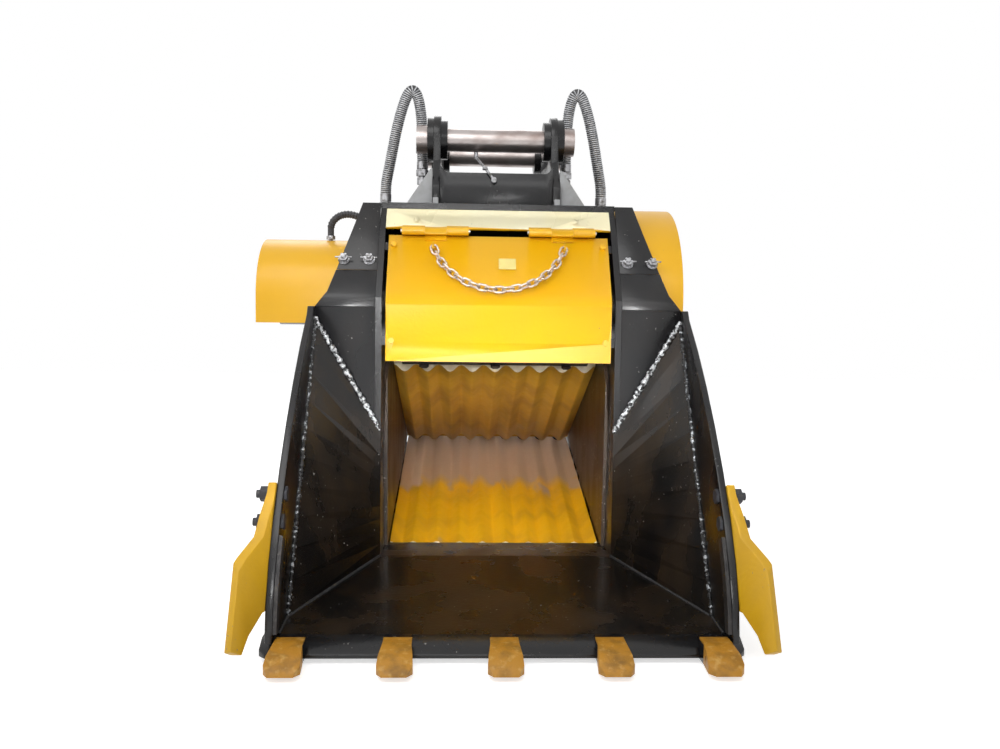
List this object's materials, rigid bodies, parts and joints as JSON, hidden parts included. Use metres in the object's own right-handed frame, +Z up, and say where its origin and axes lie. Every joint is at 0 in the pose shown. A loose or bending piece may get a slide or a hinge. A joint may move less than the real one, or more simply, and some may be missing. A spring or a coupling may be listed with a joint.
{
  "type": "jaw crusher bucket",
  "caption": "Excavator bucket with a built-in jaw crusher: toothed scoop, ribbed jaws on an eccentric drive, hinged cover with a chain, pin coupler and hydraulic hoses.",
  "frame": {"origin": "centre of the stick pin, the front pin of the coupler", "axes": "+X along the coupler pins, towards the flywheel's side; +Y from the mouth to the rear; +Z up as the bucket stands on its wear runners"},
  "size_m": [1.2257, 1.821, 1.4492],
  "materials": {
    "body_black": "gloss black paint",
    "machine_yellow": "satin yellow paint",
    "jaw_yellow": "yellow paint worn by stone",
    "worn_yellow": "ochre paint, worn",
    "dark_steel": "dark cast and rolled steel",
    "machined_steel": "machined",
    "zinc_steel": "zinc plated",
    "grey_primer": "matt grey primer",
    "hose_grey": "rubber hose in a grey guard spring"
  },
  "bodies": {
    "frame": {"cutting_edge": "body_black", "bucket_floor": "body_black", "floor_ribs": "body_black", "belly_plate": "body_black", "outer_side_left": "body_black", "outer_side_right": "body_black", "rim_bars": "dark_steel", "funnel_left": "body_black", "funnel_right": "body_black", "back_plates": "body_black", "front_corner_left": "body_black", "front_corner_right": "body_black", "guard_plate_left": "body_black", "guard_plate_right": "body_black", "guard_fasteners": "zinc_steel", "side_cutter_left": "machine_yellow", "side_cutter_right": "machine_yellow", "cutter_bolts": "dark_steel", "tooth_adapters": "body_black", "tooth_caps": "worn_yellow", "tooth_pins": "dark_steel", "wear_runners": "dark_steel", "main_side_left": "body_black", "main_side_right": "body_black", "top_deck": "body_black", "top_strip": "machine_yellow", "front_crossbeam": "body_black", "jaw_bed": "body_black", "fixed_jaw": "jaw_yellow", "fixed_jaw_clamp": "dark_steel", "cheek_left": "body_black", "cheek_right": "body_black", "rear_crossmember": "body_black", "bearing_housings": "dark_steel", "main_bearings": "machined_steel", "drive_motor": "body_black", "motor_bracket": "body_black", "flywheel_cover": "machine_yellow", "motor_cover": "machine_yellow", "cover_hinge_pins": "machined_steel", "coupler_ears": "body_black", "coupler_plates": "grey_primer", "coupler_pins": "machined_steel", "hose_left": "hose_grey", "hose_right": "hose_grey", "drain_hose": "hose_grey", "hose_fittings": "zinc_steel"},
    "shaft": {"eccentric_shaft": "machined_steel", "flywheel": "dark_steel", "drive_coupling": "dark_steel"},
    "pitman": {"pitman": "machine_yellow", "pitman_bearings": "machined_steel", "moving_jaw": "worn_yellow", "moving_jaw_clamp": "dark_steel", "tension_rod": "machined_steel", "tension_spring": "machined_steel"},
    "cover": {"access_cover": "machine_yellow"},
    "chain": {"cover_chain": "zinc_steel"},
    "adjuster": {"adjusting_block": "dark_steel", "toggle_plate": "dark_steel"}
  },
  "joints": [
    {"name": "shaft_spin", "type": "hinge", "parent": "frame", "child": "shaft", "pos_m": [0, -0.165, -0.5], "axis": [1, 0, 0], "continuous": true},
    {"name": "jaw_orbit", "type": "hinge", "parent": "shaft", "child": "pitman", "pos_m": [0, -0.165, -0.508], "axis": [1, 0, 0], "continuous": true},
    {"name": "cover_open", "type": "hinge", "parent": "frame", "child": "cover", "pos_m": [0, -0.401, -0.316], "axis": [-1, 0, 0], "range_deg": [0, 105]},
    {"name": "chain_swing", "type": "hinge", "parent": "cover", "child": "chain", "pos_m": [0, -0.42825, -0.3561], "axis": [-1, 0, 0], "range_deg": [0, 90]},
    {"name": "gap_adjust", "type": "slide", "parent": "frame", "child": "adjuster", "axis": [0, 1, 0], "range_m": [0, 0.02]}
  ],
  "couplings": [
    {"joint": "jaw_orbit", "follows": "shaft_spin", "ratio": -1}
  ]
}
